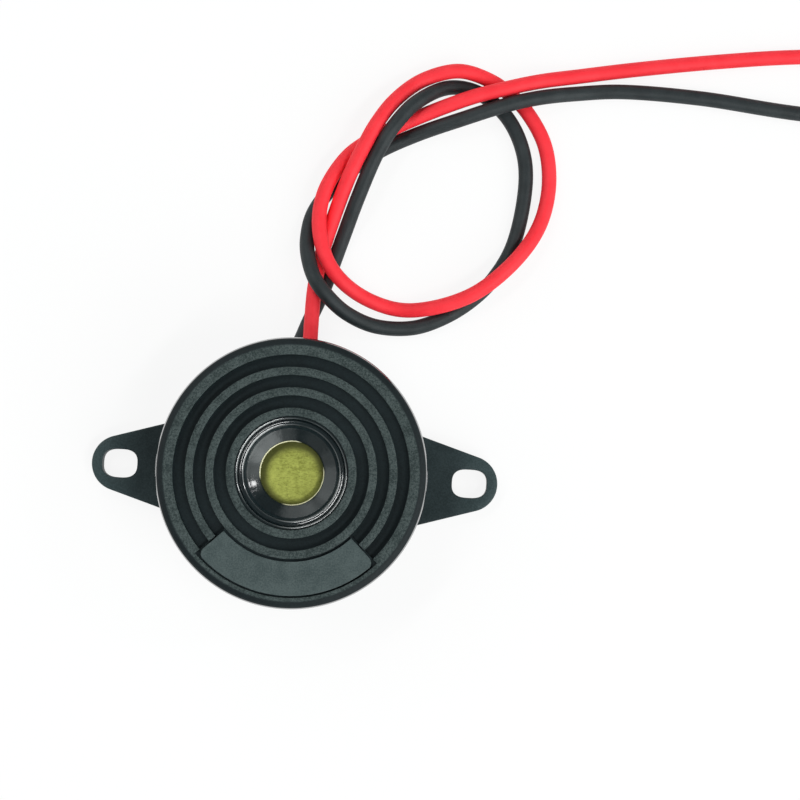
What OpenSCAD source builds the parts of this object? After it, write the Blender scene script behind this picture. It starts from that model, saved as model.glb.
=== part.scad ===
// Flange-mounted electronic buzzer with a round body, two slotted ears and two flying leads.
// Millimetres, +Z up: the rear face lies on z = 0, the sound face looks up, the leads leave toward +Y.

/* [Body] */
// Diameter of the round body
body_d = 30; // [29:0.5:33]
// Height from the rear face to the sound face
body_h = 12; // [11.5:0.5:16]
// Thickness of the side wall
wall = 1.4; // [1.2:0.1:1.6]
// Radius of the rounded rim
rim_round = 0.9; // [0.4:0.1:1.2]
// Width of the flat land round the rim, rounding included
rim_w = 1.95; // [1.8:0.05:2.2]

/* [Sound face] */
// Thickness of the face under the grooves
face_t = 1.1; // [0.8:0.1:1.3]
// Depth of the grooves between the sound rings
groove_depth = 1; // [0.8:0.1:1.2]
// Number of raised sound rings
ring_count = 3; // [2:1:4]
// Width of one raised sound ring
ring_w = 0.9; // [0.6:0.1:1.1]

/* [Sound port] */
// Diameter of the sound port
port_d = 7.2; // [5:0.2:8.4]
// Diameter of the smooth dish round the port
dish_d = 10.2; // [9.6:0.2:10.8]
// Width of the inner ledge of the lip
inner_ledge_w = 0.72; // [0.5:0.02:0.9]
// Width of the outer ledge of the lip
outer_ledge_w = 0.48; // [0.3:0.02:0.7]
// Height of each step of the lip
lip_step = 0.35; // [0.25:0.05:0.4]
// Depth of the dish edge below the inner ledge
dish_drop = 0.25; // [0.1:0.05:0.4]
// Height of the straight wall of the port
port_wall = 0.3; // [0.2:0.05:0.5]
// Draft of the port wall, the port being narrower at the bottom
port_draft = 0.12; // [0.05:0.01:0.2]

/* [Bare plate] */
// Thickness of the plate let into the face
plate_t = 0.4; // [0.3:0.05:0.6]
// Angle that the plate spans
plate_angle = 91; // [70:1:100]
// Clearance all round the plate
plate_gap = 0.3; // [0.2:0.05:0.4]
// Radius of the plate's outer corners
plate_corner = 0.8; // [0.4:0.1:1]
// Width of the rim left outside the plate
plate_rim_w = 1.3; // [1.25:0.05:1.5]

/* [Ears] */
// Distance between the two slot centres
ear_pitch = 40; // [39:0.5:46]
// Radius of the ear tip
ear_tip_r = 3.2; // [2.8:0.1:3.6]
// Thickness of an ear
ear_t = 2; // [1.6:0.1:3]
// Angle by which each ear edge widens toward the body
ear_flare = 17; // [12:1:22]
// Width of a slot
slot_w = 3.2; // [2.8:0.1:3.6]
// Length of a slot
slot_l = 4; // [3.8:0.1:4.6]

/* [Rear cover] */
// Thickness of the cover disc
cover_t = 1.2; // [1:0.1:1.6]
// Clearance round the cover disc
cover_fit = 0.1; // [0.05:0.01:0.15]
// Width of the ledge that the cover rests on
cover_seat_w = 0.3; // [0.2:0.05:0.5]
// Height of the tongue that closes the foot of the lead notch
tongue_h = 0.6; // [0.4:0.1:0.8]

/* [Diaphragm] */
// Height of the chamber in front of the diaphragm
front_gap = 1; // [0.8:0.1:1.2]
// Width of the ledge that the diaphragm rests on
seat_w = 1.2; // [0.8:0.1:1.4]
// Clearance round the brass disc
disc_fit = 0.1; // [0.05:0.01:0.2]
// Thickness of the brass disc
disc_t = 0.25; // [0.2:0.01:0.3]
// Width of the bare brass round the ceramic disc
ceramic_margin = 3.5; // [3.1:0.1:4]
// Thickness of the ceramic disc
ceramic_t = 0.25; // [0.2:0.01:0.3]
// Width of the bare ceramic edge round the silver
silver_margin = 0.5; // [0.3:0.05:0.8]
// Thickness of the silver
silver_t = 0.05; // [0.04:0.01:0.08]
// Width of the feedback tongue
feedback_w = 3.8; // [3:0.1:4.4]
// Length of the feedback tongue's straight part
feedback_l = 2.9; // [2.5:0.1:3.4]
// Bare gap round the feedback tongue
feedback_gap = 0.4; // [0.3:0.05:0.6]
// Width of the silicone bead under the edge of the brass disc
bead_w = 0.9; // [0.6:0.05:1]
// Depth of the silicone bead
bead_h = 0.75; // [0.4:0.05:1]

/* [Circuit board] */
// Gap between the round edge of the board and the wall
board_gap = 1.6; // [1.2:0.1:1.8]
// Distance from the lead holes to the flat edge of the board
board_edge = 1.8; // [1.4:0.1:2.2]
// Thickness of the board
board_t = 1.2; // [1:0.1:1.4]
// Height of the posts that carry the board
post_h = 1.2; // [1.1:0.1:1.4]
// Diameter of a post
post_d = 3; // [2.6:0.1:3.4]
// Diameter of the pin on a post
post_pin_d = 1.3; // [1.1:0.1:1.5]
// Clearance round a post pin in the board
post_pin_fit = 0.1; // [0.05:0.05:0.2]
// Diameter of the staked head that holds the board down
stake_d = 2.2; // [2:0.1:2.6]
// Height of the staked head
stake_h = 0.5; // [0.3:0.1:0.7]

/* [Parts on the board] */
// Diameter of a component leg
leg_d = 0.45; // [0.4:0.01:0.5]
// Clearance round a leg in its board hole
leg_fit = 0.1; // [0.05:0.01:0.15]
// Length of a leg below the board
leg_tail = 0.7; // [0.6:0.05:0.9]
// Radius of the bend in a leg
leg_bend = 0.5; // [0.4:0.05:0.6]
// Diameter of the transistor body
transistor_d = 4.6; // [4.4:0.1:4.8]
// Thickness of the half-round transistor body
transistor_t = 2.2; // [2:0.05:2.3]
// Length of the transistor body
transistor_l = 4.6; // [4.3:0.1:4.8]
// Height of the transistor legs above the board
transistor_leg_h = 0.9; // [0.8:0.05:1]
// Distance between neighbouring transistor legs
transistor_pitch = 1.27; // [1.2:0.01:1.3]
// Length of the transistor legs before their bend
transistor_reach = 1.6; // [1.4:0.1:1.8]
// Diameter of a resistor's end caps
resistor_d = 1.7; // [1.6:0.05:1.9]
// Diameter of a resistor's waist
resistor_waist_d = 1.5; // [1.3:0.05:1.55]
// Length of a resistor body
resistor_l = 3.4; // [3.2:0.1:3.8]
// Length of one end cap
resistor_cap_l = 0.8; // [0.6:0.1:1]
// Distance between a resistor's two holes
resistor_span = 7; // [6.6:0.1:7.2]
// Distance between neighbouring resistors
resistor_pitch = 2.3; // [2.1:0.1:2.4]
// Height of a resistor above the board
resistor_lift = 0.1; // [0:0.05:0.2]
// Height of a soldered joint under the board
joint_h = 0.55; // [0.4:0.05:0.6]
// Radius of a soldered joint where it meets the board
joint_r = 0.6; // [0.5:0.05:0.62]
// Radius of a soldered joint at its tip
joint_tip_r = 0.35; // [0.3:0.01:0.4]

/* [Inner wires] */
// Diameter of an inner wire's insulation
inner_d = 0.9; // [0.8:0.05:1]
// Length of bare strand between the insulation and the disc joint
inner_bare = 0.4; // [0.3:0.05:0.6]
// Distance from the silver's edge to the wires on it
wire_inset = 1.95; // [1.6:0.05:2.2]
// Height of the joint on the silver
dab_h = 0.6; // [0.4:0.05:0.8]
// Radius of a joint on the disc
dab_r = 0.85; // [0.7:0.05:0.95]
// Clearance between the ceramic and the joint on the brass
dab_gap = 0.15; // [0.1:0.05:0.3]
// Radius of the free end of a disc joint
dab_tip_r = 0.45; // [0.35:0.05:0.6]

/* [Leads] */
// Diameter of a lead's insulation
lead_d = 1.7; // [1.5:0.05:1.75]
// Diameter of a lead's tinned strands
core_d = 0.9; // [0.7:0.05:1]
// Clearance round the strands in their board hole
core_fit = 0.1; // [0.05:0.01:0.15]
// Length of the tinned tip at a free end
tip_l = 5; // [3:0.5:7]
// Radius of the bend in the strands above the board
core_bend = 0.7; // [0.6:0.05:0.8]
// Width of the lead notch in the wall
notch_w = 4; // [3.6:0.1:5]
// Height of the lead notch
notch_h = 4.6; // [4.5:0.1:5]
// Radius of the notch's upper corners
notch_round = 0.6; // [0.3:0.1:0.9]
// Clearance between the tongue and the notch
tongue_fit = 0.1; // [0.05:0.05:0.2]

/* [Hidden] */
$fn = 96;
cut = 0.5;

// Radii of the body
body_r = body_d / 2;
cavity_r = body_r - wall;
rim_in_r = body_r - rim_w;
chamber_r = cavity_r - seat_w;
cover_seat_r = cavity_r + cover_seat_w;
cover_r = cover_seat_r - cover_fit;

// Heights of the sound face
floor_z = body_h - groove_depth;
under_z = floor_z - face_t;
outer_ledge_z = body_h - lip_step;
inner_ledge_z = outer_ledge_z - lip_step;
dish_top_z = inner_ledge_z - dish_drop;
dish_foot_z = under_z + port_wall;

// Radii of the sound port and the rings
port_r = port_d / 2;
dish_r = dish_d / 2;
lip_step_r = dish_r + inner_ledge_w;
lip_r = lip_step_r + outer_ledge_w;
first_ring_r = lip_r + ring_w / 2;
ring_pitch = (rim_in_r + ring_w / 2 - first_ring_r) / ring_count;

// Place of the bare plate, next to the second ring
recess_in_r = first_ring_r + ring_pitch + ring_w / 2;
recess_out_r = body_r - plate_rim_w;
recess_z = body_h - plate_t;
plate_in_r = recess_in_r + plate_gap;
plate_out_r = recess_out_r - plate_gap;
platform_angle = plate_angle + asin(plate_gap / plate_in_r);
recess_angle = plate_angle + 2 * asin(plate_gap / plate_in_r);
plate_corner_r = plate_out_r - plate_corner;
plate_inset = asin(plate_corner / plate_corner_r);
plate_facing = -90;

// Ear outline
ear_x = ear_pitch / 2;
ear_edge_x = ear_x + ear_tip_r * sin(ear_flare);
ear_edge_y = ear_tip_r * cos(ear_flare);
ear_root_x = 0.8 * body_r;
ear_root_y = ear_edge_y + (ear_edge_x - ear_root_x) * tan(ear_flare);
slot_r = slot_w / 2;
slot_half = slot_l / 2 - slot_r;

// Heights of the diaphragm, from its seat down
seat_z = under_z - front_gap;
disc_z = seat_z - disc_t;
ceramic_z = disc_z - ceramic_t;
silver_z = ceramic_z - silver_t;
disc_r = cavity_r - disc_fit;
ceramic_r = disc_r - ceramic_margin;
silver_r = ceramic_r - silver_margin;
feedback_x = silver_r - feedback_l;
wire_r = silver_r - wire_inset;
joint_z = silver_z - dab_h;

// Circuit board and the places of its holes
board_r = cavity_r - board_gap;
board_z = cover_t + post_h;
board_top_z = board_z + board_t;
tail_z = board_z - leg_tail;
leg_hole_d = leg_d + 2 * leg_fit;
core_hole_d = core_d + 2 * core_fit;
post_spots = [[6.6, -2.8], [-6.4, 3.8]];
drive_spot = [0, -wire_r];
feedback_spot = [wire_r, 0];
ground_r = ceramic_r + dab_gap + dab_r;
ground_spot = ground_r * [-cos(35), -sin(35)];
wire_spots = [drive_spot, feedback_spot, ground_spot];
lead_y = 7.2;
lead_spots = [[1.6, lead_y], [-1.6, lead_y]];
board_edge_y = lead_y + board_edge;
transistor_spot = [5.2, 1.6];
transistor_y = transistor_spot.y + transistor_reach;
transistor_leg_z = board_top_z + transistor_leg_h;
transistor_axis_z = board_top_z + transistor_t - transistor_d / 2;
transistor_leg_x = [for (i = [-1 : 1]) transistor_spot.x + i * transistor_pitch];
resistor_x = -2.2;
first_resistor_y = -3.2;
resistor_y = [for (i = [0 : 2]) first_resistor_y + i * resistor_pitch];
resistor_z = board_top_z + resistor_lift + resistor_d / 2;
resistor_reach = (resistor_span - resistor_l) / 2;
leg_spots = concat(
    [for (x = transistor_leg_x) [x, transistor_spot.y]],
    [for (y = resistor_y, s = [-1, 1]) [resistor_x + s * resistor_span / 2, y]]
);

// Centre lines of the two leads, from the inner end to the free end
lead_sides = 8;
red_route = [
    [1.6, 8.8, 4.5], [1.6, 11.2, 4.5], [1, 14, 3.4], [0.9, 18, 2.7], [1, 21.2, 2.6],
    [1.4, 24.4, 1.8], [2, 27.2, 1.2], [4.1, 33.9, 3.3], [5.6, 37.5, 3.9], [7, 40.4, 3.9],
    [9, 43.4, 2.9], [12.1, 46.1, 1.7], [16.1, 47.3, 1.9], [19.8, 46.5, 1.2], [22, 45.2, 0.9],
    [24.1, 43.3, 0.9], [26.4, 39.6, 0.9], [27.2, 35.4, 0.9], [26.7, 31.2, 1.4], [25.2, 27.8, 2.3],
    [22.3, 24.2, 2.7], [18.9, 21.5, 2.7], [14.4, 19.8, 2], [10.7, 19.5, 1], [6.9, 20.5, 1.7],
    [4, 22.3, 3], [2.2, 24.6, 3.4], [1.1, 28.6, 3], [1.5, 32.4, 2.7], [3.6, 36.3, 2.3],
    [5.6, 38.2, 2], [10.1, 40.9, 1.8], [17.4, 44.1, 2.8], [21.7, 45.5, 2.8], [25.4, 46.6, 2.2],
    [30.1, 47.7, 1], [36, 48.8, 0.9], [46.2, 50.4, 0.9], [55.4, 51.5, 0.9], [77, 52.7, 0.9]
];
black_route = [
    [-1.6, 8.8, 4.5], [-1.6, 11, 4.5], [-1, 13.4, 2.8], [-0.2, 15.4, 1.6], [0.5, 17.4, 1],
    [1.9, 21, 0.9], [3.9, 27.5, 1], [5.3, 31.8, 2.7], [7.3, 37.2, 3.5], [9.1, 40.4, 4],
    [11.5, 43.3, 3.1], [15.2, 45.5, 1], [18.4, 45.1, 0.9], [21.7, 42.7, 0.9], [23.7, 39.4, 0.9],
    [24.5, 35.5, 0.9], [23.5, 27.8, 0.9], [21.5, 23.8, 0.9], [19.1, 21.1, 0.9], [16, 18.9, 0.9],
    [12.5, 17.5, 0.9], [8.2, 17.4, 1.5], [4.8, 18.6, 3], [2.6, 20.3, 4.2], [1.1, 22.1, 4.5],
    [0.2, 24.3, 3.6], [-0.2, 27, 1.9], [0.3, 30, 1], [2.5, 33.4, 0.9], [5.2, 36, 0.9],
    [7.7, 37.8, 0.9], [11.7, 39.8, 1.3], [16.7, 41.7, 2.4], [21.8, 43.6, 2.8], [25.5, 44.7, 2.4],
    [30.2, 45.7, 1], [34.8, 46.2, 0.9], [44, 46, 0.9], [55.7, 44.9, 0.9], [80, 44, 0.9]
];

// Names of the sub-parts, and the one to draw

// Section of the cup: wall, seat ledge, face, rings, lip and dish
module cup_section() {
    difference() {
        union() {
            translate([cavity_r, 0])
                square([wall, floor_z]);
            translate([chamber_r, seat_z])
                square([body_r - chamber_r, floor_z - seat_z]);
            translate([lip_step_r, under_z])
                square([body_r - lip_step_r, face_t]);
            translate([rim_in_r, under_z])
                square([rim_w, body_h - under_z]);
            for (i = [0 : ring_count - 1])
                translate([first_ring_r + i * ring_pitch - ring_w / 2, under_z])
                    square([ring_w, body_h - under_z]);
            lip_section();
        }
        translate([cavity_r - cut, -cut])
            square([cover_seat_w + cut, cover_t + cut]);
        translate([body_r - rim_round, body_h - rim_round])
            difference() {
                square(rim_round + cut);
                circle(rim_round);
            }
    }
}

// Section of the stepped lip and the dish that leads down to the port
module lip_section() {
    polygon([
        [port_r - port_draft, under_z],
        [lip_r, under_z],
        [lip_r, outer_ledge_z],
        [lip_step_r, outer_ledge_z],
        [lip_step_r, inner_ledge_z],
        [dish_r, inner_ledge_z],
        [dish_r, dish_top_z],
        [port_r, dish_foot_z]
    ]);
}

// Part of a ring that spans an angle about the plate's middle
module plate_sector(sweep, r_in, r_out, h) {
    rotate([0, 0, plate_facing - sweep / 2])
        rotate_extrude(angle = sweep)
            translate([r_in, 0])
                square([r_out - r_in, h]);
}

// One ear with its slot, on the +X side
module ear() {
    difference() {
        linear_extrude(ear_t)
            difference() {
                union() {
                    translate([ear_x, 0])
                        circle(ear_tip_r);
                    polygon([
                        [ear_root_x, -ear_root_y],
                        [ear_edge_x, -ear_edge_y],
                        [ear_edge_x, ear_edge_y],
                        [ear_root_x, ear_root_y]
                    ]);
                }
                circle(body_r - wall / 2);
            }
        translate([ear_x, 0, -cut])
            slot();
    }
}

// Round-ended slot through an ear
module slot() {
    for (s = [-1, 1])
        translate([s * slot_half, 0, 0])
            cylinder(r = slot_r, h = ear_t + 2 * cut);
    translate([-slot_half, -slot_r, 0])
        cube([2 * slot_half, slot_w, ear_t + 2 * cut]);
}

// Opening in the wall through which the leads pass
module lead_notch() {
    translate([0, body_r + cut, 0])
        rotate([90, 0, 0])
            linear_extrude(wall + 2 * cut) {
                translate([-notch_w / 2, -cut])
                    square([notch_w, notch_h - notch_round + cut]);
                translate([notch_round - notch_w / 2, -cut])
                    square([notch_w - 2 * notch_round, notch_h + cut]);
                for (s = [-1, 1])
                    translate([s * (notch_w / 2 - notch_round), notch_h - notch_round])
                        circle(notch_round);
            }
}

module housing() {
    color([0.26, 0.3, 0.305])
        difference() {
            union() {
                rotate_extrude()
                    cup_section();
                translate([0, 0, under_z])
                    plate_sector(platform_angle, recess_in_r - ring_w / 2, rim_in_r + ring_w / 2, recess_z - under_z);
                ear();
                rotate([0, 0, 180])
                    ear();
            }
            translate([0, 0, recess_z])
                plate_sector(recess_angle, plate_in_r, recess_out_r, plate_t + cut);
            lead_notch();
        }
}

module bare_plate() {
    color([0.3, 0.345, 0.35])
        translate([0, 0, recess_z]) {
            plate_sector(plate_angle, plate_in_r, plate_corner_r, plate_t);
            plate_sector(plate_angle - 2 * plate_inset, plate_in_r, plate_out_r, plate_t);
            for (s = [-1, 1])
                rotate([0, 0, plate_facing + s * (plate_angle / 2 - plate_inset)])
                    translate([plate_corner_r, 0, 0])
                        cylinder(r = plate_corner, h = plate_t);
        }
}

module rear_cover() {
    tongue_w = notch_w - 2 * tongue_fit;
    color([0.16, 0.18, 0.185]) {
        cylinder(r = cover_r, h = cover_t);
        intersection() {
            translate([-tongue_w / 2, 0, 0])
                cube([tongue_w, body_r, tongue_h]);
            cylinder(r = body_r - tongue_fit, h = tongue_h);
        }
        for (spot = post_spots)
            translate(spot) {
                cylinder(d = post_d, h = board_z);
                cylinder(d = post_pin_d, h = board_top_z);
                translate([0, 0, board_top_z])
                    cylinder(d1 = stake_d, d2 = post_pin_d, h = stake_h);
            }
    }
}

module diaphragm_plate() {
    color([0.78, 0.66, 0.3])
        translate([0, 0, disc_z])
            cylinder(r = disc_r, h = disc_t);
}

module piezo_ceramic() {
    color([0.86, 0.85, 0.8])
        translate([0, 0, ceramic_z])
            cylinder(r = ceramic_r, h = ceramic_t);
}

// Outline of the feedback tongue, grown by a margin
module tongue_outline(margin) {
    translate([feedback_x, 0])
        circle(feedback_w / 2 + margin);
    translate([feedback_x, -feedback_w / 2 - margin])
        square([silver_r, feedback_w + 2 * margin]);
}

module drive_electrode() {
    color([0.8, 0.81, 0.82])
        translate([0, 0, silver_z])
            linear_extrude(silver_t)
                difference() {
                    circle(silver_r);
                    tongue_outline(feedback_gap);
                }
}

module feedback_electrode() {
    color([0.8, 0.81, 0.82])
        translate([0, 0, silver_z])
            linear_extrude(silver_t)
                intersection() {
                    circle(silver_r);
                    tongue_outline(0);
                }
}

module diaphragm_bead() {
    color([0.9, 0.9, 0.88])
        rotate_extrude()
            polygon([
                [cavity_r - bead_w, disc_z],
                [cavity_r, disc_z],
                [cavity_r, disc_z - bead_h]
            ]);
}

// Vertical holes through the board at a list of places
module board_holes(spots, d) {
    for (spot = spots)
        translate([spot.x, spot.y, board_z - cut])
            cylinder(d = d, h = board_t + 2 * cut);
}

module circuit_board() {
    color([0.72, 0.56, 0.3])
        difference() {
            translate([0, 0, board_z])
                cylinder(r = board_r, h = board_t);
            translate([-board_r, board_edge_y, board_z - cut])
                cube([2 * board_r, board_r, board_t + 2 * cut]);
            board_holes(post_spots, post_pin_d + 2 * post_pin_fit);
            board_holes(lead_spots, core_hole_d);
            board_holes(wire_spots, leg_hole_d);
            board_holes(leg_spots, leg_hole_d);
        }
}

// Wire that runs out along +X, bends and drops straight down
module bent_wire(run, drop, d, bend) {
    rotate([0, 90, 0])
        cylinder(d = d, h = run - bend);
    translate([run - bend, 0, -bend])
        rotate([90, 0, 0])
            rotate_extrude(angle = 90)
                translate([bend, 0])
                    circle(d = d);
    translate([run, 0, -drop])
        cylinder(d = d, h = drop - bend);
}

module transistor_body() {
    color([0.12, 0.12, 0.13])
        difference() {
            translate([transistor_spot.x, transistor_y, transistor_axis_z])
                rotate([-90, 0, 0])
                    cylinder(d = transistor_d, h = transistor_l);
            translate([transistor_spot.x - transistor_d / 2 - cut, transistor_y - cut, board_top_z - transistor_d])
                cube([transistor_d + 2 * cut, transistor_l + 2 * cut, transistor_d]);
        }
}

module transistor_legs() {
    color([0.78, 0.78, 0.76])
        for (x = transistor_leg_x)
            translate([x, transistor_y, transistor_leg_z])
                rotate([0, 0, -90])
                    bent_wire(transistor_reach, transistor_leg_z - tail_z, leg_d, leg_bend);
}

// Resistor body with two end caps and a narrower waist, lying along X
module resistor(i) {
    waist = resistor_l - 2 * resistor_cap_l;
    translate([resistor_x - resistor_l / 2, resistor_y[i], resistor_z])
        rotate([0, 90, 0]) {
            cylinder(d = resistor_d, h = resistor_cap_l);
            translate([0, 0, resistor_cap_l])
                cylinder(d = resistor_waist_d, h = waist);
            translate([0, 0, resistor_cap_l + waist])
                cylinder(d = resistor_d, h = resistor_cap_l);
        }
}

module base_resistor() {
    color([0.8, 0.7, 0.52])
        resistor(0);
}

module collector_resistor() {
    color([0.8, 0.7, 0.52])
        resistor(1);
}

module feedback_resistor() {
    color([0.8, 0.7, 0.52])
        resistor(2);
}

module resistor_legs() {
    color([0.78, 0.78, 0.76])
        for (y = resistor_y, s = [0, 1])
            translate([resistor_x, y, resistor_z])
                rotate([0, 0, 180 * s])
                    translate([resistor_l / 2, 0, 0])
                        bent_wire(resistor_reach, resistor_z - tail_z, leg_d, leg_bend);
}

// Soldered cones under the board, each round its own wire
module joints(spots, d) {
    for (spot = spots)
        translate([spot.x, spot.y, board_z - joint_h])
            difference() {
                cylinder(r1 = joint_tip_r + (d - leg_d) / 2, r2 = joint_r + (d - leg_d) / 2, h = joint_h);
                translate([0, 0, -cut])
                    cylinder(d = d, h = joint_h + 2 * cut);
            }
}

module board_solder() {
    color([0.74, 0.75, 0.76]) {
        joints(lead_spots, core_d);
        joints(wire_spots, leg_d);
        joints(leg_spots, leg_d);
    }
}

// Thin wire that stands on the board and reaches up to the disc
module inner_wire(spot) {
    translate(spot) {
        translate([0, 0, tail_z])
            cylinder(d = leg_d, h = joint_z - tail_z);
        translate([0, 0, board_top_z])
            cylinder(d = inner_d, h = joint_z - inner_bare - board_top_z);
    }
}

module drive_wire() {
    color([0.85, 0.15, 0.12])
        inner_wire(drive_spot);
}

module feedback_wire() {
    color([0.2, 0.35, 0.75])
        inner_wire(feedback_spot);
}

module ground_wire() {
    color([0.14, 0.14, 0.15])
        inner_wire(ground_spot);
}

// Soldered dab on the disc, its free end at the top of the wire
module dab(spot, top_z) {
    translate([spot.x, spot.y, joint_z])
        cylinder(r1 = dab_tip_r, r2 = dab_r, h = top_z - joint_z);
}

module disc_solder() {
    color([0.74, 0.75, 0.76]) {
        dab(drive_spot, silver_z);
        dab(feedback_spot, silver_z);
        dab(ground_spot, disc_z);
    }
}

// Direction of a route at one of its points
function unit(v) = v / norm(v);
function route_way(p, i) = unit(p[min(i + 1, len(p) - 1)] - p[max(i - 1, 0)]);

// Ring of points square to the route at one of its points
function route_ring(p, i) =
    let (way = route_way(p, i), side = unit(cross(way, [0, 0, 1])), up = cross(side, way))
    [for (k = [0 : lead_sides - 1])
        let (a = (k + 0.5) * 360 / lead_sides)
        p[i] + lead_d / 2 * (cos(a) * side + sin(a) * up)];

// Round insulation swept along a route
module lead(p) {
    rows = len(p);
    points = [for (i = [0 : rows - 1]) each route_ring(p, i)];
    sides = [
        for (i = [0 : rows - 2], k = [0 : lead_sides - 1])
            let (a = i * lead_sides + k, b = i * lead_sides + (k + 1) % lead_sides)
            each [[a, b, b + lead_sides], [a, b + lead_sides, a + lead_sides]]
    ];
    first = [for (k = [0 : lead_sides - 1]) lead_sides - 1 - k];
    last = [for (k = [0 : lead_sides - 1]) (rows - 1) * lead_sides + k];
    polyhedron(points, concat([first], sides, [last]));
}

// Bare strands at both ends of a lead: the tail into the board and the free tip
module conductor(p, spot) {
    far = p[len(p) - 1];
    way = far - p[len(p) - 2];
    translate(p[0])
        rotate([0, 0, -90])
            bent_wire(p[0].y - spot.y, p[0].z - tail_z, core_d, core_bend);
    translate(far)
        rotate([0, 0, atan2(way.y, way.x)])
            rotate([0, 90, 0])
                cylinder(d = core_d, h = tip_l);
}

module red_lead() {
    color([0.98, 0.2, 0.24])
        lead(red_route);
}

module red_conductor() {
    color([0.8, 0.8, 0.79])
        conductor(red_route, lead_spots[0]);
}

module black_lead() {
    color([0.12, 0.13, 0.13])
        lead(black_route);
}

module black_conductor() {
    color([0.8, 0.8, 0.79])
        conductor(black_route, lead_spots[1]);
}

housing();
bare_plate();
rear_cover();
diaphragm_plate();
piezo_ceramic();
drive_electrode();
feedback_electrode();
diaphragm_bead();
circuit_board();
transistor_body();
transistor_legs();
base_resistor();
collector_resistor();
feedback_resistor();
resistor_legs();
board_solder();
drive_wire();
feedback_wire();
ground_wire();
disc_solder();
red_lead();
red_conductor();
black_lead();
black_conductor();
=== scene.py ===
import math

import bmesh
import bpy
from mathutils import Matrix, Vector


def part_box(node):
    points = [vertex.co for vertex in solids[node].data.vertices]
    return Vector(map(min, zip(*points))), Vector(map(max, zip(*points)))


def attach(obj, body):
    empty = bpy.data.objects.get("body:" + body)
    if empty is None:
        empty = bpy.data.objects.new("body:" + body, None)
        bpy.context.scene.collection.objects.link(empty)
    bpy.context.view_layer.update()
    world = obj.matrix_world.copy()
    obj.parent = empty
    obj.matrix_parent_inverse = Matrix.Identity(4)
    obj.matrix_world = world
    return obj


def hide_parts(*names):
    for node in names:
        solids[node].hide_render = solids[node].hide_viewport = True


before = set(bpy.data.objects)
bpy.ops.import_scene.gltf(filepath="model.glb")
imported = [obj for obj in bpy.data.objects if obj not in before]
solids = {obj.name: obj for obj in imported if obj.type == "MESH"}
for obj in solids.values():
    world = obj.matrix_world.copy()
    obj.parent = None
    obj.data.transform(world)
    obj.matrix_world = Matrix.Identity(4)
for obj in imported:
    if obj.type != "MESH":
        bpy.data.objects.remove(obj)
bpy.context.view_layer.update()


# The housing is one black moulding: a round cup with a ringed sound face, a stepped lip and a dish
# round the sound port, and two slotted ears. It is injection-moulded; the tool is spark-eroded on the
# lands and polished in the dish and round the rim.
mm = 0.001
ear_reach, body_r, face_z = (round(v / mm, 1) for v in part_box("housing")[1])
seat_z = round(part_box("diaphragm_plate")[1][2] / mm, 1)
recess_z = round(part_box("bare_plate")[0][2] / mm, 1)
ring_r, ring_w, ring_pitch, ring_h = 6.3, 0.9, 2.25, 1.0
floor_z = face_z - ring_h
rim_in = ring_r + 3 * ring_pitch
rim_round, rim_turn = 0.9, 32
rim_z = face_z - rim_round
facet_r = body_r - rim_round * (1 - math.cos(math.radians(rim_turn)))
facet_z = face_z - 0.75
recess_out, recess_turn = 13.7, 46.9
cavity_r, cover_r, cover_t = 13.6, 13.9, 1.2
chamber_r, under_z = 12.4, seat_z + 1
notch_turn, notch_z = 7.66, 4.6
port_r, port_round, port_z = 3.48, 0.4, under_z + 0.03
dish_r, dish_round, dish_turn = 4.95, 11.7, 122
inner_bead_r, inner_bead_z, inner_bead = 5.55, 11.03, 0.36
outer_bead_r, outer_bead_z, outer_bead = 6.18, 11.31, 0.28
edge_break = 0.06


def arc(r, z, radius, start, end, steps):
    """Points along an arc of a section or an outline, in millimetres, between two angles in degrees."""
    turns = [math.radians(start + (end - start) * i / steps) for i in range(steps + 1)]
    return [(r + radius * math.cos(t), z + radius * math.sin(t)) for t in turns]


in_1, out_1, in_2, out_2, in_3, out_3 = (
    ring_r + i * ring_pitch + wall for i in range(3) for wall in (0, ring_w)
)
dish_mid_r = port_r + port_round - (dish_round - port_round) * math.cos(math.radians(dish_turn))
dish_mid_z = port_z - (dish_round - port_round) * math.sin(math.radians(dish_turn))
port_section = (
    [(port_r, under_z)]
    + arc(port_r + port_round, port_z, port_round, 180, dish_turn, 6)
    + arc(dish_mid_r, dish_mid_z, dish_round, dish_turn - 1, dish_turn - 7, 6)
    + arc(inner_bead_r, inner_bead_z, inner_bead, 150, 25, 10)
    + arc(outer_bead_r, outer_bead_z, outer_bead, 185, 65, 10)
)
ring_section = [
    (in_1, face_z), (out_1, face_z), (out_1, floor_z), (in_2, floor_z), (in_2, face_z), (out_2, face_z),
]
groove_section = [
    (out_2, recess_z), (out_2, floor_z), (in_3, floor_z), (in_3, recess_z), (in_3, face_z), (out_3, face_z),
    (out_3, recess_z), (out_3, floor_z), (rim_in, floor_z), (rim_in, recess_z), (rim_in, face_z),
    (recess_out, face_z),
]
recess_section = [(r, recess_z) for r in (out_2, in_3, out_3, rim_in, recess_out)] + [(recess_out, face_z)]
rim_section = (
    arc(body_r - rim_round, rim_z, rim_round, 90, rim_turn, 9)
    + [(body_r, facet_z), (body_r, rim_z), (body_r, notch_z)]
)
wall_section = [(body_r, 0), (cover_r, 0), (cover_r, cover_t), (cavity_r, cover_t)]
cavity_section = [(cavity_r, notch_z), (cavity_r, seat_z), (chamber_r, seat_z), (chamber_r, under_z)]


def turned(bm, section, at):
    """New points of a section, stood upright at one angle about the sound port's axis."""
    turn = math.radians(at)
    return [bm.verts.new((r * mm * math.cos(turn), r * mm * math.sin(turn), z * mm)) for r, z in section]


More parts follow.
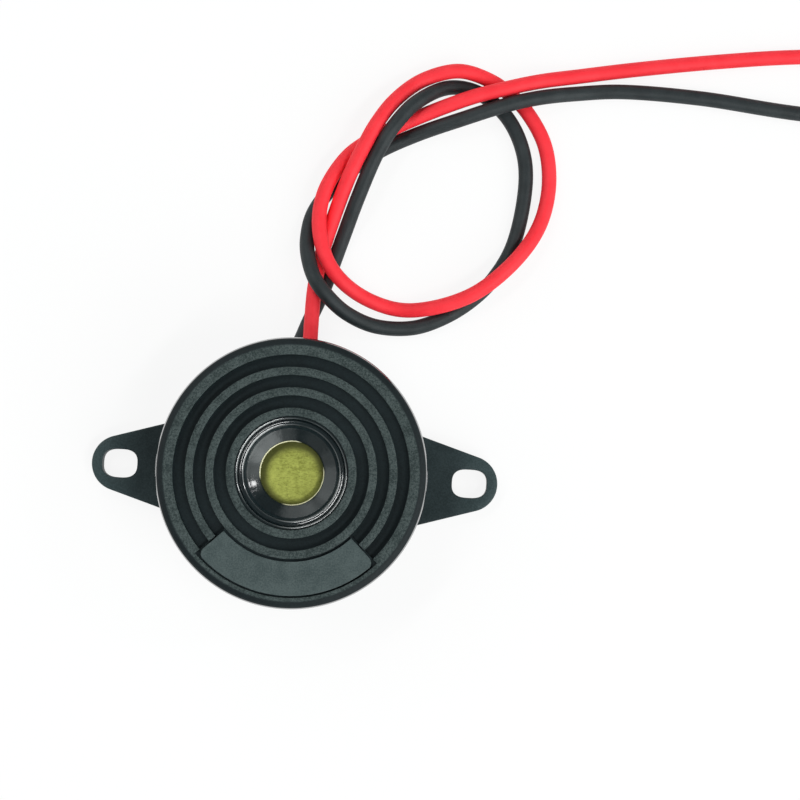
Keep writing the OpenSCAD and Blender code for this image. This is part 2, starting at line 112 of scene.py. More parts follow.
def sweep(bm, section, start, end, steps):
    """Turns a closed section about the sound port's axis, from one angle to another."""
    ring = turned(bm, section, start)
    edges = [bm.edges.new((ring[i - 1], ring[i])) for i in range(len(ring))]
    bmesh.ops.spin(
        bm, geom=ring + edges, cent=(0, 0, 0), axis=(0, 0, 1), angle=math.radians(end - start), steps=steps
    )


def crisp_edges(bm, least=0.6):
    """Edges at which two faces of a mesh meet at a clear angle."""
    return [e for e in bm.edges if len(e.link_faces) == 2 and e.calc_face_angle(0) > least]


def round_edges(bm, edges, offset, segments):
    """Breaks edges with a small round."""
    bmesh.ops.bevel(
        bm, geom=edges, offset=offset * mm, offset_type="OFFSET", segments=segments, profile=0.5,
        affect="EDGES", material=-1,
    )


def thicken(bm, thickness):
    """Gives a flat outline its thickness, upwards."""
    lifted = bmesh.ops.extrude_face_region(bm, geom=bm.faces[:])["geom"]
    raised = [v for v in lifted if isinstance(v, bmesh.types.BMVert)]
    bmesh.ops.translate(bm, verts=raised, vec=(0, 0, thickness * mm))
    bmesh.ops.recalc_face_normals(bm, faces=bm.faces)


cup = bmesh.new()
plain = port_section + ring_section + groove_section + rim_section + wall_section + cavity_section
plated = port_section + ring_section + recess_section + rim_section + wall_section + cavity_section
notched = port_section + ring_section + groove_section + rim_section + cavity_section
notch_steps, side_steps, recess_steps = 10, 84, 64
sweep(cup, notched, 90 - notch_turn, 90 + notch_turn, notch_steps)
sweep(cup, plain, 90 + notch_turn, 270 - recess_turn, side_steps)
sweep(cup, plated, 270 - recess_turn, 270 + recess_turn, recess_steps)
sweep(cup, plain, 270 + recess_turn, 450 - notch_turn, side_steps)
for side in (-1, 1):
    for inner, outer, low, high in (
        (out_2, in_3, floor_z, recess_z),
        (in_3, out_3, recess_z, face_z),
        (out_3, rim_in, floor_z, recess_z),
        (rim_in, recess_out, recess_z, face_z),
    ):
        step = [(inner, low), (outer, low), (outer, high), (inner, high)]
        cup.faces.new(turned(cup, step, 270 + side * recess_turn))
    jamb = [(body_r, notch_z)] + wall_section + [(cavity_r, notch_z)]
    cup.faces.new(turned(cup, jamb, 90 + side * notch_turn))
bmesh.ops.remove_doubles(cup, verts=cup.verts, dist=1e-6)
bmesh.ops.recalc_face_normals(cup, faces=cup.faces)
land_edges = [
    e for e in crisp_edges(cup)
    if min(v.co.z for v in e.verts) > (recess_z - 0.3) * mm and e.verts[0].co.xy.length > (ring_r - 0.01) * mm
]
round_edges(cup, land_edges, edge_break, 2)

ear_flare, ear_t, ear_break = 17, 2.0, 0.12
tip_r = 3.2
slot_r = ear_reach - tip_r
slot_half_length, slot_half_width, slot_squareness = 2.0, 1.62, 0.7
root_r = body_r - 0.95
tip = arc(slot_r, 0, tip_r, ear_flare - 90, 90 - ear_flare, 28)
root = tip[-1][1] + (tip[-1][0] - root_r) * math.tan(math.radians(ear_flare))
slot = []
for point in arc(0, 0, 1, 0, 351, 39):
    across, along = (math.copysign(abs(v) ** slot_squareness, v) for v in point)
    slot.append((slot_r + slot_half_length * across, slot_half_width * along))
for facing in (0, 180):
    ear = bmesh.new()
    for outline in ([(root_r, -root)] + tip + [(root_r, root)], slot):
        loop = [ear.verts.new((x * mm, y * mm, 0)) for x, y in outline]
        for i in range(len(loop)):
            ear.edges.new((loop[i - 1], loop[i]))
    bmesh.ops.triangle_fill(ear, edges=ear.edges, use_beauty=True)
    thicken(ear, ear_t)
    level_edges = [e for e in crisp_edges(ear) if abs(e.verts[0].co.z - e.verts[1].co.z) < 1e-6]
    round_edges(ear, level_edges, ear_break, 3)
    spun = Matrix.Rotation(math.radians(facing), 3, "Z")
    bmesh.ops.rotate(ear, verts=ear.verts, cent=(0, 0, 0), matrix=spun)
    shape = bpy.data.meshes.new("ear")
    ear.to_mesh(shape)
    ear.free()
    cup.from_mesh(shape)
    bpy.data.meshes.remove(shape)


class Shade:
    """A value in a finish: sums and products on it add Math nodes, and add() brings in any other node."""

    def __init__(self, tree, socket):
        self.tree, self.socket = tree, socket

    def add(self, kind, settings, sockets, out=0):
        made = self.tree.nodes.new(kind)
        for name, value in settings.items():
            setattr(made, name, value)
        for name, value in sockets.items():
            if isinstance(value, Shade):
                self.tree.links.new(value.socket, made.inputs[name])
            else:
                made.inputs[name].default_value = value
        return Shade(self.tree, made.outputs[out])

    def math(self, operation, *values):
        return self.add("ShaderNodeMath", {"operation": operation}, dict(enumerate(values)))

    def __add__(self, other):
        return self.math("ADD", self, other)

    def __sub__(self, other):
        return self.math("SUBTRACT", self, other)

    def __rsub__(self, other):
        return self.math("SUBTRACT", other, self)

    def __mul__(self, other):
        return self.math("MULTIPLY", self, other)

    def __pow__(self, other):
        return self.math("POWER", self, other)

    __radd__ = __add__
    __rmul__ = __mul__

    def split(self):
        """The x, y and z of this place or direction."""
        return [self.add("ShaderNodeSeparateXYZ", {}, {0: self}, i) for i in range(3)]

    def stretched(self, scale, turn=0.0):
        """This place, stretched along each axis and turned about the upright."""
        return self.add("ShaderNodeMapping", {}, {"Vector": self, "Rotation": (0, 0, turn), "Scale": scale})

    def rise(self, low, high):
        """0 below one level and 1 above another, with a smooth change between them."""
        levels = {"Value": self, "From Min": low, "From Max": high}
        return self.add("ShaderNodeMapRange", {"interpolation_type": "SMOOTHSTEP"}, levels)

    def tint(self, low, high):
        """A colour that changes from one to another as this value goes from 0 to 1."""
        return self.add("ShaderNodeMix", {"data_type": "RGBA"}, {0: self, 6: low, 7: high}, 2)

    def noise(self, scale, detail=2.0, rough=0.5):
        """Soft random variation over this place, with so many patches to a millimetre."""
        return self.add(
            "ShaderNodeTexNoise", {}, {"Vector": self, "Scale": scale, "Detail": detail, "Roughness": rough}
        )

    def relief(self, distance, strength=1.0):
        """Raised and sunk detail from this value, with its height in metres."""
        return self.add("ShaderNodeBump", {}, {"Height": self, "Distance": distance, "Strength": strength})


def new_finish(name):
    """A new finish, and the place on the piece in millimetres."""
    made = bpy.data.materials.new(name)
    made.use_nodes = True
    tree = made.node_tree
    metres = Shade(tree, tree.nodes.new("ShaderNodeTexCoord").outputs["Object"])
    return made, metres.add("ShaderNodeVectorMath", {"operation": "SCALE"}, {0: metres, "Scale": 1 / mm})


def set_finish(made, **sockets):
    """Sets or links the finish's own sockets, whose names are written with underscores."""
    skin = made.node_tree.nodes["Principled BSDF"]
    for name, value in sockets.items():
        socket = skin.inputs[name.replace("_", " ")]
        if isinstance(value, Shade):
            made.node_tree.links.new(value.socket, socket)
        else:
            socket.default_value = value


def rgb(red, green, blue):
    """A colour in linear light, as the sockets take it."""
    return (red, green, blue, 1.0)


def set_piece(name, bm, finish, slot, *nodes):
    """Makes a mesh into a piece that rides on the buzzer and stands for its solids."""
    mesh = bpy.data.meshes.new(name)
    bm.to_mesh(mesh)
    bm.free()
    mesh.shade_smooth()
    crisp_turn = math.radians(28)
    mesh.set_sharp_from_angle(angle=crisp_turn)
    mesh.materials.append(finish)
    piece = bpy.data.objects.new(name, mesh)
    bpy.context.scene.collection.objects.link(piece)
    evened = piece.modifiers.new("even_faces", "WEIGHTED_NORMAL")
    evened.keep_sharp = True
    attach(piece, "root")
    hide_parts(*nodes)


moulded, place = new_finish("moulded_black")
x, y, z = place.split()
r = (x * x + y * y) ** 0.5
# Each zone of the moulding is found by its distance from the port's axis and its height
land = z.rise(face_z - 0.1, face_z - 0.04) * (1 - r.rise(body_r - 1.0, body_r - 0.75))
dish = 1 - r.rise(dish_r - 0.02, dish_r + 0.05)
lip = (1 - dish) * (1 - r.rise(ring_r - 0.06, ring_r))
bead = lip * r.rise(inner_bead_r - 0.35, inner_bead_r - 0.29)
outside = r.rise(body_r - 1.0, body_r - 0.7)
rim = z.rise(floor_z, floor_z + 0.2) * outside
edge = z.rise(rim_z, rim_z + 0.1) * r.rise(facet_r - 0.03, facet_r + 0.01)
beyond = r.rise(body_r + 0.02, body_r + 0.06)
wall = (1 - z.rise(floor_z, floor_z + 0.2)) * outside * (1 - beyond)
ear_zone = (1 - z.rise(ear_t + 0.05, ear_t + 0.3)) * beyond
# A painted reflection: a pale gold ring on the port's edge stands for the brass seen in its polished wall,
# left off where x times y is large.
painted_port_reflection = (1 - r.rise(port_r + 0.09, port_r + 0.15)) * (1 - z.rise(port_z + 0.22, port_z + 0.32))
painted_port_reflection = painted_port_reflection * (1 - (x * y).rise(0.8, 3.5))
spark = place.noise(4.6, 4.0, 0.7)
pits = place.noise(11.0, 2.0)
blotch = place.noise(0.7, 3.0)
wave = place.noise(1.7, 2.0)
dust = place.noise(9.0, 1.0).rise(0.68, 0.76)
grit = (blotch * 0.2 + spark * 0.5 + pits * 0.3).rise(0.41, 0.59)
dark = grit.tint(rgb(0.0050, 0.0110, 0.0130), rgb(0.0092, 0.0185, 0.0212))
deep = grit.tint(rgb(0.0050, 0.0092, 0.0108), rgb(0.0078, 0.0135, 0.0155))
light = grit.tint(rgb(0.0160, 0.0260, 0.0260), rgb(0.0660, 0.0860, 0.0850))
# The ears are painted darker at the root and lighter towards the tips: a painted shade where the body blocks
# the light.
painted_shade_ear_root = grit.tint(rgb(0.0130, 0.0230, 0.0250), rgb(0.0240, 0.0380, 0.0410))
ear_tip = grit.tint(rgb(0.0280, 0.0460, 0.0480), rgb(0.0450, 0.0690, 0.0730))
tone = land.tint((dish + 0.4 * lip + rim).tint(dark, deep), light)
tone = ear_zone.tint(tone, r.rise(slot_r - 2.5, slot_r + 2.5).tint(painted_shade_ear_root, ear_tip))
tone = (dust * land * 0.35).tint(tone, rgb(0.12, 0.14, 0.14))
# Paints the reflection of the brass on the port's edge.
tone = painted_port_reflection.tint(tone, rgb(1.0, 0.96, 0.68))
dull = 0.58 + 0.04 * land - 0.47 * dish - 0.4 * lip - 0.05 * rim - 0.4 * edge - 0.1 * ear_zone - 0.16 * wall
coarse = 0.2 + 0.8 * land + 0.3 * ear_zone - 0.19 * dish - 0.13 * lip - 0.17 * edge
grain = (spark * 0.7 + pits * 0.3) * coarse + wave * (3.5 * dish + 1.2 * lip)
set_finish(
    moulded, Base_Color=tone, Roughness=dull + 0.08 * (blotch - 0.5), Normal=grain.relief(0.03 * mm, 0.8),
    Coat_Weight=edge + 0.44 * bead + 0.105 * dish, Coat_Roughness=0.1, Coat_IOR=4.0, Specular_IOR_Level=0.2,
)
set_piece("housing_moulding", cup, moulded, "housing_plastic", "housing")


# The bare plate is a thin strip of the same plastic, let into a shallow recess of the face between the
# second ring and the rim. It is moulded smoother than the lands and held by its fit.
plate_in, plate_out, plate_turn = 9.75, 13.5, 46.0
corner_r, plate_break = 0.8, 0.05
corner_reach = plate_out - corner_r
corner_at = 270 + plate_turn - math.degrees(math.asin(corner_r / corner_reach))
corner_x = corner_reach * math.cos(math.radians(corner_at))
corner_y = corner_reach * math.sin(math.radians(corner_at))
corner = arc(corner_x, corner_y, corner_r, 360 + plate_turn, corner_at, 10)
outline = (
    arc(0, 0, plate_in, 270 - plate_turn, 270 + plate_turn, 60)
    + corner
    + arc(0, 0, plate_out, corner_at, 540 - corner_at, 70)[1:-1]
    + [(-across, along) for across, along in reversed(corner)]
)
plate = bmesh.new()
plate.faces.new([plate.verts.new((across * mm, along * mm, recess_z * mm)) for across, along in outline])
thicken(plate, face_z - recess_z)
upper_edges = [e for e in crisp_edges(plate) if min(v.co.z for v in e.verts) > (face_z - 0.1) * mm]
round_edges(plate, upper_edges, plate_break, 2)
satin, place = new_finish("satin_plate")
blotch = place.noise(0.5, 3.0)
fine = place.noise(5.5, 3.0, 0.65)
tone = (0.4 * blotch + 0.6 * fine).rise(0.36, 0.64).tint(rgb(0.038, 0.056, 0.057), rgb(0.072, 0.096, 0.096))
set_finish(
    satin, Base_Color=tone, Roughness=0.5 + 0.1 * (blotch - 0.5), Normal=fine.relief(0.012 * mm, 0.6),
    Specular_IOR_Level=0.25,
)
set_piece("bare_plate_strip", plate, satin, "plate_plastic", "bare_plate")


# The diaphragm is a rolled brass disc, seated under the face and seen through the sound port. Its face
# carries short rolling lines, small specks and a light olive tarnish, and a painted shade darkens it towards
# the port's edge.
# The centre of the painted shade lies off the port's middle, so the upper left is shaded most.
shade_centre_x, shade_centre_y = 0.2, -0.3
brass, place = new_finish("rolled_brass")
x, y = place.split()[:2]
rolled = place.stretched((1.0, 2.4, 1.0), -0.55).noise(2.4, 4.0, 0.65)
specks = place.noise(4.2, 4.0, 0.7)
clouds = place.noise(0.7, 3.0)
shade_centre_distance = ((x - shade_centre_x) * (x - shade_centre_x) + (y - shade_centre_y) * (y - shade_centre_y)) ** 0.5
tarnish = (0.4 * rolled + 0.3 * specks + 0.3 * clouds).rise(0.3, 0.66)
dots = place.noise(4.0, 1.0).rise(0.68, 0.76)
tone = tarnish.tint(rgb(0.20, 0.22, 0.034), rgb(0.52, 0.56, 0.125))
# A painted shade darkens the brass towards the port's edge, where the edge would shade it.
tone = (0.9 * shade_centre_distance.rise(port_r - 1.03, port_r - 0.08)).tint(tone, rgb(0.075, 0.08, 0.017))
set_finish(
    brass, Base_Color=(dots * 0.5).tint(tone, rgb(0.10, 0.10, 0.03)), Metallic=0.6,
    Roughness=0.4 + 0.2 * specks, Normal=(rolled + 0.8 * specks).relief(0.015 * mm, 0.7),
)


def dress(finish, *names):
    """Gives a finish to solids that keep their own shape."""
    for name in names:
        solids[name].material_slots[0].material = finish


dress(brass, "diaphragm_plate")


# The ceramic is a thin sintered disc, bonded to the back of the brass. It is ground flat, with a fine
# sandy grain and a few grey clouds from firing.
ceramic, place = new_finish("fired_ceramic")
sand = place.noise(8.0, 4.0, 0.7)
fired = place.noise(0.4, 3.0)
tone = (0.5 * sand + 0.5 * fired).rise(0.3, 0.7).tint(rgb(0.60, 0.57, 0.49), rgb(0.78, 0.75, 0.67))
set_finish(
    ceramic, Base_Color=tone, Roughness=0.62 + 0.15 * (sand - 0.5), Normal=sand.relief(0.01 * mm, 0.7)
)
dress(ceramic, "piezo_ceramic")


# The two electrodes are silver, screen-printed on the ceramic and fired: a large one that drives the disc
# and a small tongue that feeds its motion back. The print keeps the weave of the screen.
screen_turns = 26.0
silver, place = new_finish("printed_silver")
x, y = place.split()[:2]
weave = x.math("SINE", x * screen_turns) * y.math("SINE", y * screen_turns)
smear = place.stretched((0.3, 3.0, 1.0)).noise(1.4, 3.0)
tone = (0.3 * weave + smear).rise(0.2, 0.8).tint(rgb(0.60, 0.59, 0.56), rgb(0.80, 0.79, 0.76))
set_finish(
    silver, Base_Color=tone, Metallic=0.85, Roughness=0.44 + 0.14 * (smear - 0.5),
    Normal=(0.5 * weave + smear).relief(0.006 * mm, 0.6),
)
dress(silver, "drive_electrode", "feedback_electrode")


# The bead is soft silicone, run round the edge of the diaphragm by hand. It holds the disc on its seat
# and lets it ring; it cures with a slightly lumpy, milky skin.
silicone, place = new_finish("milky_silicone")
lumps = place.noise(0.5, 2.0)
bubbles = place.noise(5.0, 1.0).rise(0.66, 0.74)
tone = lumps.rise(0.3, 0.7).tint(rgb(0.70, 0.70, 0.67), rgb(0.86, 0.86, 0.83))
set_finish(
    silicone, Base_Color=(bubbles * 0.4).tint(tone, rgb(0.93, 0.93, 0.91)), Roughness=0.3 + 0.2 * lumps,
    Normal=(lumps - 0.2 * bubbles).relief(0.2 * mm, 0.5), Subsurface_Weight=0.12, Subsurface_Scale=mm,
)
dress(silicone, "diaphragm_bead")


# The circuit board is punched from phenolic paper. Its upper side is bare and shows the paper's fibres;
# its lower side carries the copper tracks under green lacquer.
board_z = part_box("circuit_board")[0][2] / mm
phenolic, place = new_finish("phenolic_board")
x, y, z = place.split()
fibres = place.stretched((0.5, 5.0, 1.0)).noise(1.3, 4.0, 0.65)
knots = place.noise(2.4, 3.0)
under = 1 - z.rise(board_z + 0.005, board_z + 0.03)
tracks = x.math("SINE", x * 2.4 + 1.3 * y.math("SINE", y * 0.7)).rise(-0.1, 0.1)
paper = (0.6 * fibres + 0.4 * knots).rise(0.3, 0.7).tint(rgb(0.33, 0.19, 0.06), rgb(0.52, 0.34, 0.13))
lacquer = (0.85 * tracks + 0.15 * knots).tint(rgb(0.02, 0.11, 0.035), rgb(0.05, 0.24, 0.06))
set_finish(
    phenolic, Base_Color=under.tint(paper, lacquer), Roughness=0.55 - 0.27 * under + 0.12 * (knots - 0.5),
    Normal=(fibres * (1 - under) + 1.5 * tracks * under).relief(0.02 * mm, 0.7),
)
dress(phenolic, "circuit_board")


# The transistor keeps the disc ringing. Its half-round case is moulded black epoxy with a matt skin, and
# its three legs are tinned wire, pushed through the board.
epoxy, place = new_finish("moulded_epoxy")
filler = place.noise(7.0, 4.0, 0.7)
flow = place.noise(0.8, 2.0)
tone = (0.6 * filler + 0.4 * flow).rise(0.3, 0.7).tint(rgb(0.012, 0.012, 0.013), rgb(0.034, 0.034, 0.036))
set_finish(epoxy, Base_Color=tone, Roughness=0.5 + 0.2 * (flow - 0.5), Normal=filler.relief(0.02 * mm, 0.7))
dress(epoxy, "transistor_body")
tinned, place = new_finish("tinned_wire")
dipped = place.noise(1.2, 3.0)
drawn = place.stretched((6.0, 6.0, 0.4)).noise(1.5, 3.0)
tone = (0.5 * dipped + 0.5 * drawn).rise(0.25, 0.75).tint(rgb(0.46, 0.46, 0.44), rgb(0.70, 0.70, 0.68))
set_finish(
    tinned, Base_Color=tone, Metallic=0.95, Roughness=0.28 + 0.2 * (dipped - 0.3),
    Normal=(drawn + dipped).relief(0.01 * mm, 0.6),
)
dress(tinned, "transistor_legs")


# The three resistors are ceramic rods, dipped in tan lacquer and ringed with paint. Their legs are the
# same tinned wire, bent down and pushed through the board.
band_starts, band_w, band_blur = (-3.5, -2.85, -2.2, -1.15), 0.3, 0.05
brown, red, ink = rgb(0.16, 0.06, 0.02), rgb(0.55, 0.03, 0.03), rgb(0.02, 0.02, 0.02)
orange, yellow, violet = rgb(0.75, 0.2, 0.02), rgb(0.78, 0.6, 0.05), rgb(0.2, 0.06, 0.3)
gold = rgb(0.55, 0.38, 0.1)
for name, paints in (
    ("base_resistor", (brown, ink, orange, gold)),
    ("collector_resistor", (red, red, brown, gold)),
    ("feedback_resistor", (yellow, violet, red, gold)),
):
    lacquered, place = new_finish(name + "_lacquer")
    runs = place.noise(1.0, 3.0)
    wobble = place.split()[0] + 0.12 * (runs - 0.5)
    tone = runs.rise(0.3, 0.7).tint(rgb(0.50, 0.34, 0.17), rgb(0.66, 0.49, 0.28))
    ringed = 0
    for start, paint in zip(band_starts, paints):
        end = start + band_w
        ring = wobble.rise(start, start + band_blur) * (1 - wobble.rise(end, end + band_blur))
        tone = ring.tint(tone, paint)
        ringed = ring + ringed
    set_finish(
        lacquered, Base_Color=tone, Roughness=0.26 + 0.15 * runs,
        Normal=(runs + 0.3 * ringed).relief(0.04 * mm, 0.5),
    )
    dress(lacquered, name)
dress(tinned, "resistor_legs")


# The soldered joints under the board are bright cones round the cut ends of the legs and wires. They set
# with a smooth skin, a little dull where the tin froze last.
solder, place = new_finish("set_solder")
frost = place.noise(2.5, 4.0, 0.65)
skin = place.noise(0.9, 2.0)
tone = (0.6 * frost + 0.4 * skin).rise(0.3, 0.7).tint(rgb(0.50, 0.50, 0.49), rgb(0.76, 0.76, 0.74))
set_finish(
    solder, Base_Color=tone, Metallic=0.95, Roughness=0.18 + 0.3 * frost.rise(0.4, 0.7),
    Normal=(skin + 0.3 * frost).relief(0.05 * mm, 0.5),
)
dress(solder, "board_solder")


# Three thin stranded wires rise from the board to the disc: red to the drive electrode, blue to the
# feedback tongue, black to the brass. Their ends are stripped and tinned.
sleeve_low, sleeve_high, cut_blur = 3.58, 7.35, 0.02
for name, low, high in (
    ("drive_wire", rgb(0.55, 0.016, 0.02), rgb(0.78, 0.035, 0.045)),
    ("feedback_wire", rgb(0.02, 0.06, 0.34), rgb(0.05, 0.12, 0.52)),
    ("ground_wire", rgb(0.012, 0.013, 0.013), rgb(0.03, 0.033, 0.033)),
):
    sleeve, place = new_finish(name + "_sleeve")
    x, y, z = place.split()
    cloud = place.noise(1.5, 3.0)
    covered = z.rise(sleeve_low, sleeve_low + cut_blur) * (1 - z.rise(sleeve_high, sleeve_high + cut_blur))
    bare = 1 - covered
    strands = x.math("SINE", x * 16.0 + y * 16.0 + z * 9.0)
    metal = (0.5 + 0.5 * strands).tint(rgb(0.40, 0.39, 0.37), rgb(0.68, 0.67, 0.65))
    set_finish(
        sleeve, Base_Color=bare.tint(cloud.rise(0.3, 0.7).tint(low, high), metal), Metallic=0.95 * bare,
        Roughness=0.42 - 0.1 * bare + 0.12 * (cloud - 0.5),
        Normal=(0.2 * cloud + strands * bare).relief(0.02 * mm, 0.6),
    )
    dress(sleeve, name)


# The joints on the disc are small dabs of solder that hold the three wires' ends on the silver and the
# brass. They are the same metal as the joints under the board.
dress(solder, "disc_solder")


# The two leads are stranded copper in soft PVC, red and black. They leave the notch in the wall, are tied
# together in one loose overhand knot and run off side by side to their stripped ends.
lead_radius = 0.85
red_route = [
    (1.6, 8.8, 4.5), (1.6, 11.2, 4.5), (1, 14, 3.4), (0.9, 18, 2.7), (1, 21.2, 2.6), (1.4, 24.4, 1.8),
    (2, 27.2, 1.2), (4.1, 33.9, 3.3), (5.6, 37.5, 3.9), (7, 40.4, 3.9), (9, 43.4, 2.9), (12.1, 46.1, 1.7),
    (16.1, 47.3, 1.9), (19.8, 46.5, 1.2), (22, 45.2, 0.9), (24.1, 43.3, 0.9), (26.4, 39.6, 0.9),
    (27.2, 35.4, 0.9), (26.7, 31.2, 1.4), (25.2, 27.8, 2.3), (22.3, 24.2, 2.7), (18.9, 21.5, 2.7),
    (14.4, 19.8, 2), (10.7, 19.5, 1), (6.9, 20.5, 1.7), (4, 22.3, 3), (2.2, 24.6, 3.4), (1.1, 28.6, 3),
    (1.5, 32.4, 2.7), (3.6, 36.3, 2.3), (5.6, 38.2, 2), (10.1, 40.9, 1.8), (17.4, 44.1, 2.8),
    (21.7, 45.5, 2.8), (25.4, 46.6, 2.2), (30.1, 47.7, 1), (36, 48.8, 0.9), (46.2, 50.4, 0.9),
    (55.4, 51.5, 0.9), (77, 52.7, 0.9),
]
black_route = [
    (-1.6, 8.8, 4.5), (-1.6, 11, 4.5), (-1, 13.4, 2.8), (-0.2, 15.4, 1.6), (0.5, 17.4, 1), (1.9, 21, 0.9),
    (3.9, 27.5, 1), (5.3, 31.8, 2.7), (7.3, 37.2, 3.5), (9.1, 40.4, 4), (11.5, 43.3, 3.1), (15.2, 45.5, 1),
    (18.4, 45.1, 0.9), (21.7, 42.7, 0.9), (23.7, 39.4, 0.9), (24.5, 35.5, 0.9), (23.5, 27.8, 0.9),
    (21.5, 23.8, 0.9), (19.1, 21.1, 0.9), (16, 18.9, 0.9), (12.5, 17.5, 0.9), (8.2, 17.4, 1.5),
    (4.8, 18.6, 3), (2.6, 20.3, 4.2), (1.1, 22.1, 4.5), (0.2, 24.3, 3.6), (-0.2, 27, 1.9), (0.3, 30, 1),
    (2.5, 33.4, 0.9), (5.2, 36, 0.9), (7.7, 37.8, 0.9), (11.7, 39.8, 1.3), (16.7, 41.7, 2.4),
    (21.8, 43.6, 2.8), (25.5, 44.7, 2.4), (30.2, 45.7, 1), (34.8, 46.2, 0.9), (44, 46, 0.9),
    (55.7, 44.9, 0.9), (80, 44, 0.9),
]


def eased(route, steps=12):
    """A smooth line through the points of a lead's route, in metres, never lower than it can lie."""
    points = [Vector(p) for p in route]
    ends = [2 * points[0] - points[1], *points, 2 * points[-1] - points[-2]]
    line = []
    for a, b, c, d in zip(ends, ends[1:], ends[2:], ends[3:]):
        knots = [0.0]
        for p, q in ((a, b), (b, c), (c, d)):
            knots.append(knots[-1] + (q - p).length ** 0.5)
        for i in range(steps):
            t = knots[1] + (knots[2] - knots[1]) * i / steps
            ab = a.lerp(b, (t - knots[0]) / (knots[1] - knots[0]))
            bc = b.lerp(c, (t - knots[1]) / (knots[2] - knots[1]))
            cd = c.lerp(d, (t - knots[2]) / (knots[3] - knots[2]))
            abc = ab.lerp(bc, (t - knots[0]) / (knots[2] - knots[0]))
            bcd = bc.lerp(cd, (t - knots[1]) / (knots[3] - knots[1]))
            line.append(abc.lerp(bcd, (t - knots[1]) / (knots[2] - knots[1])))
    line.append(points[-1])
    return [Vector((p.x, p.y, max(p.z, lead_radius))) * mm for p in line]


def lead_skin(name, low, high, rough, shine):
    """Soft PVC: an even colour with faint clouds and the fine skin that drawing leaves."""
    pvc, place = new_finish(name)
    cloud = place.noise(0.5, 3.0)
    skin = place.noise(6.0, 3.0, 0.6)
    set_finish(
        pvc, Base_Color=(0.6 * cloud + 0.4 * skin).rise(0.3, 0.7).tint(low, high),
        Roughness=rough + 0.12 * skin, Normal=skin.relief(0.01 * mm, 0.6), Specular_IOR_Level=shine,
    )
    return pvc


def lay_lead(colour, route, finish):
    line = eased(route)
    curve = bpy.data.curves.new(colour + "_insulation", "CURVE")
    curve.dimensions = "3D"
    curve.bevel_depth = lead_radius * mm
    curve.bevel_resolution = 9
    curve.use_fill_caps = True
    spline = curve.splines.new("POLY")
    spline.points.add(len(line) - 1)
    for point, p in zip(spline.points, line):
        point.co = (*p, 1.0)
    spline.use_smooth = True
    curve.materials.append(finish)
    piece = bpy.data.objects.new(colour + "_insulation", curve)
    bpy.context.scene.collection.objects.link(piece)
    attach(piece, "root")
    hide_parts(colour + "_lead")


red_pvc = lead_skin("red_pvc", rgb(0.92, 0.020, 0.034), rgb(1.0, 0.034, 0.050), 0.52, 0.35)
black_pvc = lead_skin("black_pvc", rgb(0.014, 0.019, 0.021), rgb(0.027, 0.034, 0.037), 0.46, 0.3)
lay_lead("red", red_route, red_pvc)
lay_lead("black", black_route, black_pvc)
stranded, place = new_finish("tinned_strands")
x, y, z = place.split()
twist = x.math("SINE", x * 5.0 + y * 5.0 + z * 14.0)
dipped = place.noise(1.5, 3.0)
tone = (0.5 + 0.3 * twist + 0.4 * (dipped - 0.5)).tint(rgb(0.30, 0.28, 0.25), rgb(0.70, 0.69, 0.66))
set_finish(
    stranded, Base_Color=tone, Metallic=0.95, Roughness=0.3 + 0.2 * (dipped - 0.3),
    Normal=(twist + 0.3 * dipped).relief(0.05 * mm, 0.7),
)
dress(stranded, "red_conductor", "black_conductor")


# The rear cover is a moulded disc, pressed into the back of the housing, with two posts under the board
# and a tongue that closes the notch below the leads. Its outer side has a fine texture.
cover, place = new_finish("cover_plastic")
x, y, z = place.split()
r = (x * x + y * y) ** 0.5
spark = place.noise(5.0, 4.0, 0.7)
blotch = place.noise(0.6, 3.0)
rings = r.math("SINE", r * 9.0) * (1 - z.rise(0.0, 0.05)) * (1 - r.rise(3.0, 3.4))
tone = (0.3 * blotch + 0.7 * spark).rise(0.3, 0.7).tint(rgb(0.013, 0.019, 0.020), rgb(0.034, 0.044, 0.045))
set_finish(
    cover, Base_Color=tone, Roughness=0.52 + 0.14 * (blotch - 0.5),
    Normal=(spark + 0.4 * rings).relief(0.03 * mm, 0.8), Specular_IOR_Level=0.42,
)
dress(cover, "rear_cover")


# The camera stands almost straight above the buzzer, a little to the right of its body. Its lens is long,
# so the face hides the wall, and it is turned slightly about its own axis.
eye = Vector((10.2276, -0.7475, 265.0)) * mm
aim = Vector((11.528, 9.1701, 0.0)) * mm
roll = 0.0591
ahead = (aim - eye).normalized()
right = ahead.cross(Vector((-math.sin(roll), math.cos(roll), 0))).normalized()
up = right.cross(ahead)
lens = bpy.data.cameras.new("photo_camera")
lens.lens = 103.528
lens.sensor_width = 36.0
lens.clip_start, lens.clip_end = 0.01, 10.0
camera = bpy.data.objects.new("photo_camera", lens)
camera.matrix_world = Matrix.Translation(eye) @ Matrix((right, up, -ahead)).transposed().to_4x4()
bpy.context.scene.collection.objects.link(camera)
bpy.context.scene.camera = camera


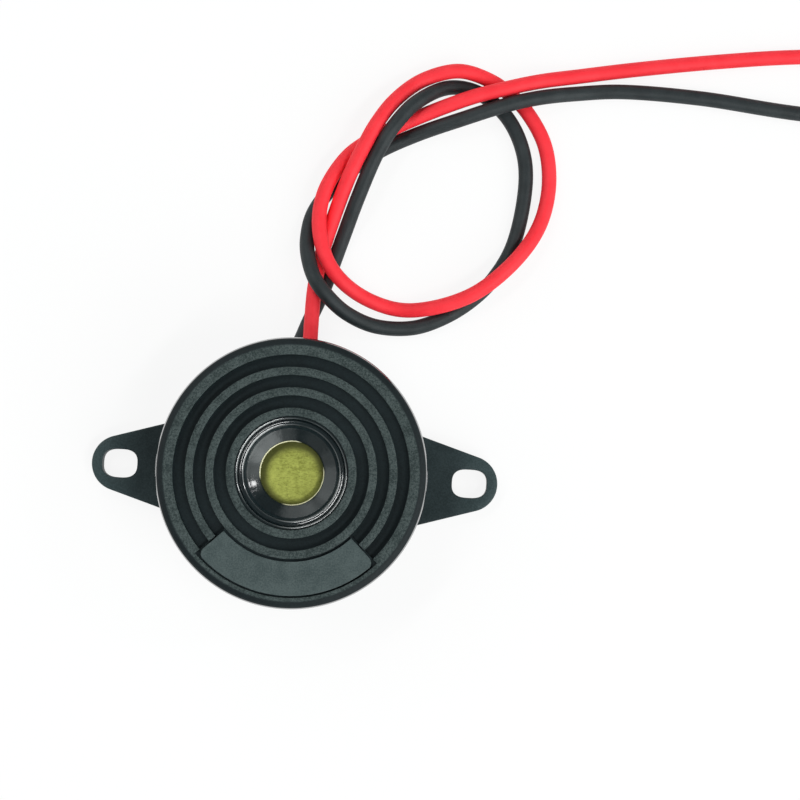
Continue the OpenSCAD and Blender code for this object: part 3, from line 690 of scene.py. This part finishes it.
# The stage is a plain pale floor, just below the buzzer. It stays nearly white to the camera and in
# reflections, and keeps part of the soft shadow.
floor_half, floor_drop, floor_glow = 1.5, 0.00002, 0.87
ground = bmesh.new()
bmesh.ops.create_grid(ground, x_segments=1, y_segments=1, size=floor_half)
bmesh.ops.translate(ground, verts=ground.verts, vec=(0, 0, -floor_drop))
sheet = bpy.data.meshes.new("floor")
ground.to_mesh(sheet)
ground.free()
floor = bpy.data.objects.new("floor", sheet)
bpy.context.scene.collection.objects.link(floor)
pale = bpy.data.materials.new("pale_floor")
pale.use_nodes = True
tree = pale.node_tree
tree.nodes.clear()
rays = tree.nodes.new("ShaderNodeLightPath").outputs
shown = Shade(tree, rays["Is Camera Ray"]) + Shade(tree, rays["Is Glossy Ray"])
shown = shown + Shade(tree, rays["Is Transmission Ray"])
matt = shown.add("ShaderNodeBsdfDiffuse", {}, {"Color": rgb(0.96, 0.96, 0.96)})
glow = shown.add("ShaderNodeEmission", {}, {"Color": rgb(1, 1, 1), "Strength": 1.0})
both = shown.add("ShaderNodeMixShader", {}, {0: floor_glow * shown.rise(0.0, 1.0), 1: matt, 2: glow})
tree.links.new(both.socket, tree.nodes.new("ShaderNodeOutputMaterial").inputs[0])
sheet.materials.append(pale)


# The studio light is a white horizon with broad soft panels round the sides, a gap at the upper right and a
# dark ceiling, so that polished surfaces show clear shapes. Two slender lamps draw the fine highlights,
# and a small pane makes the spot in the dish.
lamp_distance, panel_core = 0.5, 5
room = bpy.data.worlds.new("studio")
bpy.context.scene.world = room
room.use_nodes = True
tree = room.node_tree
toward = Shade(tree, tree.nodes.new("ShaderNodeTexCoord").outputs["Generated"])
height = toward.split()[2]


def direction(azimuth, elevation):
    """A unit vector towards a place in the studio, from angles in degrees."""
    turn, lift = math.radians(azimuth), math.radians(elevation)
    return Vector((math.cos(lift) * math.cos(turn), math.cos(lift) * math.sin(turn), math.sin(lift)))


level = 0.05 + 0.08 * (1 - height.rise(0.6, 0.9)) + 0.87 * (1 - height.rise(0.08, 0.2))
for azimuth, elevation, reach, strength in (
    (318, 30, 32, 2.6), (350, 30, 28, 1.05), (15, 28, 24, 0.55), (165, 30, 28, 1.2), (198, 30, 18, 0.5),
    (230, 30, 24, 0.25), (107, 32, 28, 1.0), (135, 35, 24, 0.5), (285, 30, 24, 0.6),
):
    pair = {0: toward, 1: direction(azimuth, elevation)}
    facing = toward.add("ShaderNodeVectorMath", {"operation": "DOT_PRODUCT"}, pair, "Value")
    level = level + strength * facing.rise(math.cos(math.radians(reach)), math.cos(math.radians(panel_core)))
backdrop = tree.nodes["Background"]
backdrop.inputs["Color"].default_value = rgb(0.94, 1.0, 0.985)
tree.links.new(level.socket, backdrop.inputs["Strength"])
for name, azimuth, elevation, width, depth, power in (
    ("near_strip", 320, 62, 0.4, 0.05, 0.85),
    ("far_strip", 140, 62, 0.4, 0.05, 0.55),
    ("window_pane", 20, 38, 0.05, 0.05, 0.17),
):
    panel = bpy.data.lights.new(name, "AREA")
    panel.shape = "RECTANGLE"
    panel.size, panel.size_y, panel.energy = width, depth, power
    stand = bpy.data.objects.new(name, panel)
    stand.location = lamp_distance * direction(azimuth, elevation)
    stand.rotation_euler = (-stand.location).to_track_quat("-Z", "Y").to_euler()
    bpy.context.scene.collection.objects.link(stand)

bpy.context.scene.view_settings.view_transform = "Standard"
